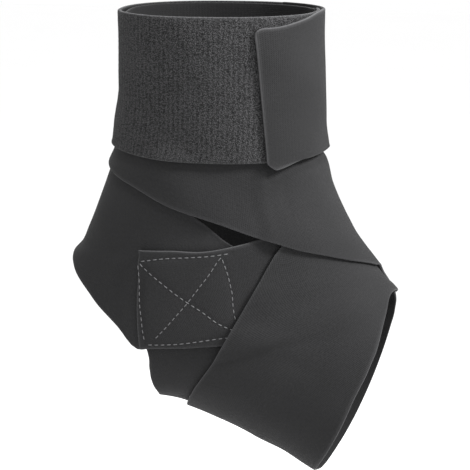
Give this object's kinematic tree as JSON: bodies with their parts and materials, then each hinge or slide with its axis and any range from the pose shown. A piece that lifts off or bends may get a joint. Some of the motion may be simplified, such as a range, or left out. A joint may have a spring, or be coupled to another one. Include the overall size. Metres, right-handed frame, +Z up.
{
  "type": "ankle brace",
  "caption": "Soft wrap-round ankle brace in its worn shape: wide elastic straps crossed over the ankle and foot, open heel, and a cuff with a closure tab.",
  "frame": {"origin": "middle of the ankle inside the brace, where the ankle seats it", "axes": "+Z up along the leg, +X forwards to the toes, +Y to the inner side of the ankle"},
  "size_m": [0.1498, 0.0806, 0.2126],
  "materials": {
    "strap_fabric": "dark grey elastic foam strap faced with smooth fine knit, matt with a soft sheen",
    "loop_fabric": "dark grey loop pile with fine upright ribs, matt and a little speckled"
  },
  "bodies": {
    "root": {"arch_strap": "strap_fabric", "heel_strap": "strap_fabric", "anchor_strap": "strap_fabric", "ankle_strap": "strap_fabric", "foot_strap": "strap_fabric", "instep_strap": "strap_fabric", "cuff_band": "loop_fabric", "closure_tab": "strap_fabric"}
  },
  "joints": []
}
